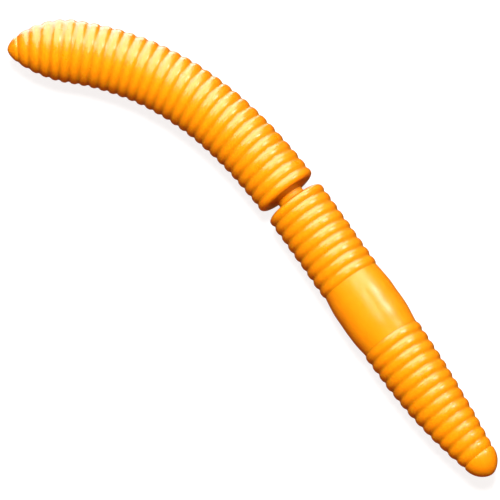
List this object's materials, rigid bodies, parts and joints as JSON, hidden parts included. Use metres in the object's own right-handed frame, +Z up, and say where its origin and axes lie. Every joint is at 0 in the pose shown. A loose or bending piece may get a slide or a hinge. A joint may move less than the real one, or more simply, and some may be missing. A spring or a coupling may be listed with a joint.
{
  "type": "soft plastic worm",
  "caption": "Ringed soft plastic fishing worm lying in a bend on its belly, with a thin neck between tail and front sections, a smooth saddle band and a tapered, domed head.",
  "frame": {"origin": "on the surface the worm lies on, under the middle of its outline", "axes": "+Z up, away from that surface; +X along the straight line from tail tip to nose tip; the worm's middle line bends towards +Y between them"},
  "size_m": [0.063, 0.013, 0.0064],
  "materials": {
    "worm_plastic": "gloss"
  },
  "bodies": {
    "tail_tip": {"tail_tip": "worm_plastic", "tail_soft_ring_04": "worm_plastic"},
    "tail_05_07": {"tail_rings_05_07": "worm_plastic", "tail_soft_ring_08": "worm_plastic"},
    "tail_09_11": {"tail_rings_09_11": "worm_plastic", "tail_soft_ring_12": "worm_plastic"},
    "tail_13_15": {"tail_rings_13_15": "worm_plastic", "tail_soft_ring_16": "worm_plastic"},
    "tail_17_19": {"tail_rings_17_19": "worm_plastic", "tail_soft_ring_20": "worm_plastic"},
    "tail_21_23": {"tail_rings_21_23": "worm_plastic", "tail_soft_ring_24": "worm_plastic"},
    "tail_25_27": {"tail_rings_25_27": "worm_plastic", "tail_soft_ring_28": "worm_plastic"},
    "tail_end": {"tail_end_ring": "worm_plastic", "neck": "worm_plastic"},
    "front_end": {"front_end_rings": "worm_plastic", "front_soft_ring_02": "worm_plastic"},
    "front_03_05": {"front_rings_03_05": "worm_plastic", "front_soft_ring_06": "worm_plastic"},
    "saddle": {"front_rings_07_08": "worm_plastic", "saddle": "worm_plastic"},
    "head_02_04": {"head_soft_ring_01": "worm_plastic", "head_rings_02_04": "worm_plastic"},
    "head_06_08": {"head_soft_ring_05": "worm_plastic", "head_rings_06_08": "worm_plastic"},
    "head_10_12": {"head_soft_ring_09": "worm_plastic", "head_rings_10_12": "worm_plastic"},
    "nose": {"head_soft_ring_13": "worm_plastic", "nose": "worm_plastic"}
  },
  "joints": [
    {"name": "front_sway_06", "type": "hinge", "parent": "saddle", "child": "front_03_05", "pos_m": [0.00624, 0.00059, 0.0032], "axis": [0.0004, 0.0003, -1], "range_deg": [-18, 18], "stiffness_Nm_per_rad": 0.0029, "deforming": ["front_soft_ring_06"]},
    {"name": "front_nod_02", "type": "hinge", "parent": "front_03_05", "child": "front_end", "pos_m": [0.00205, 0.00161, 0.0032], "axis": [0.2284, 0.9736, 0], "range_deg": [-18, 18], "stiffness_Nm_per_rad": 0.0029, "deforming": ["front_soft_ring_02"]},
    {"name": "neck_sway", "type": "hinge", "parent": "front_end", "child": "tail_end", "pos_m": [-0.00095, 0.00227, 0.0032], "axis": [0.0004, 0.0003, -1], "range_deg": [-18, 18], "stiffness_Nm_per_rad": 0.0011, "deforming": ["neck"]},
    {"name": "tail_nod_28", "type": "hinge", "parent": "tail_end", "child": "tail_25_27", "pos_m": [-0.00291, 0.00265, 0.0032], "axis": [0.1754, 0.9845, 0], "range_deg": [-18, 18], "stiffness_Nm_per_rad": 0.0029, "deforming": ["tail_soft_ring_28"]},
    {"name": "tail_sway_24", "type": "hinge", "parent": "tail_25_27", "child": "tail_21_23", "pos_m": [-0.00718, 0.00324, 0.0032], "axis": [0.0004, 0.0003, -1], "range_deg": [-18, 18], "stiffness_Nm_per_rad": 0.0029, "deforming": ["tail_soft_ring_24"]},
    {"name": "tail_nod_20", "type": "hinge", "parent": "tail_21_23", "child": "tail_17_19", "pos_m": [-0.0115, 0.00343, 0.0032], "axis": [-0.0158, 0.9999, 0], "range_deg": [-18, 18], "stiffness_Nm_per_rad": 0.0029, "deforming": ["tail_soft_ring_20"]},
    {"name": "tail_sway_16", "type": "hinge", "parent": "tail_17_19", "child": "tail_13_15", "pos_m": [-0.0158, 0.00306, 0.0032], "axis": [0.0004, 0.0003, -1], "range_deg": [-18, 18], "stiffness_Nm_per_rad": 0.0029, "deforming": ["tail_soft_ring_16"]},
    {"name": "tail_nod_12", "type": "hinge", "parent": "tail_13_15", "child": "tail_09_11", "pos_m": [-0.01999, 0.00204, 0.0032], "axis": [-0.3134, 0.9496, 0], "range_deg": [-18, 18], "stiffness_Nm_per_rad": 0.0029, "deforming": ["tail_soft_ring_12"]},
    {"name": "tail_sway_08", "type": "hinge", "parent": "tail_09_11", "child": "tail_05_07", "pos_m": [-0.02396, 0.00036, 0.0032], "axis": [0.0004, 0.0003, -1], "range_deg": [-18, 18], "stiffness_Nm_per_rad": 0.0029, "deforming": ["tail_soft_ring_08"]},
    {"name": "tail_nod_04", "type": "hinge", "parent": "tail_05_07", "child": "tail_tip", "pos_m": [-0.02762, -0.00192, 0.0032], "axis": [-0.5959, 0.803, 0], "range_deg": [-18, 18], "stiffness_Nm_per_rad": 0.0027, "deforming": ["tail_soft_ring_04"]},
    {"name": "head_nod_01", "type": "hinge", "parent": "saddle", "child": "head_02_04", "pos_m": [0.01595, -0.00182, 0.0032], "axis": [-0.2406, -0.9706, 0], "range_deg": [-18, 18], "stiffness_Nm_per_rad": 0.0029, "deforming": ["head_soft_ring_01"]},
    {"name": "head_sway_05", "type": "hinge", "parent": "head_02_04", "child": "head_06_08", "pos_m": [0.02022, -0.00287, 0.0032], "axis": [-0.0004, -0.0003, 1], "range_deg": [-18, 18], "stiffness_Nm_per_rad": 0.0029, "deforming": ["head_soft_ring_05"]},
    {"name": "head_nod_09", "type": "hinge", "parent": "head_06_08", "child": "head_10_12", "pos_m": [0.02451, -0.00384, 0.0032], "axis": [-0.2085, -0.978, 0], "range_deg": [-18, 18], "stiffness_Nm_per_rad": 0.0014, "deforming": ["head_soft_ring_09"]},
    {"name": "head_sway_13", "type": "hinge", "parent": "head_10_12", "child": "nose", "pos_m": [0.02883, -0.00468, 0.0032], "axis": [-0.0004, -0.0003, 1], "range_deg": [-18, 18], "stiffness_Nm_per_rad": 0.00047, "deforming": ["head_soft_ring_13"]}
  ]
}
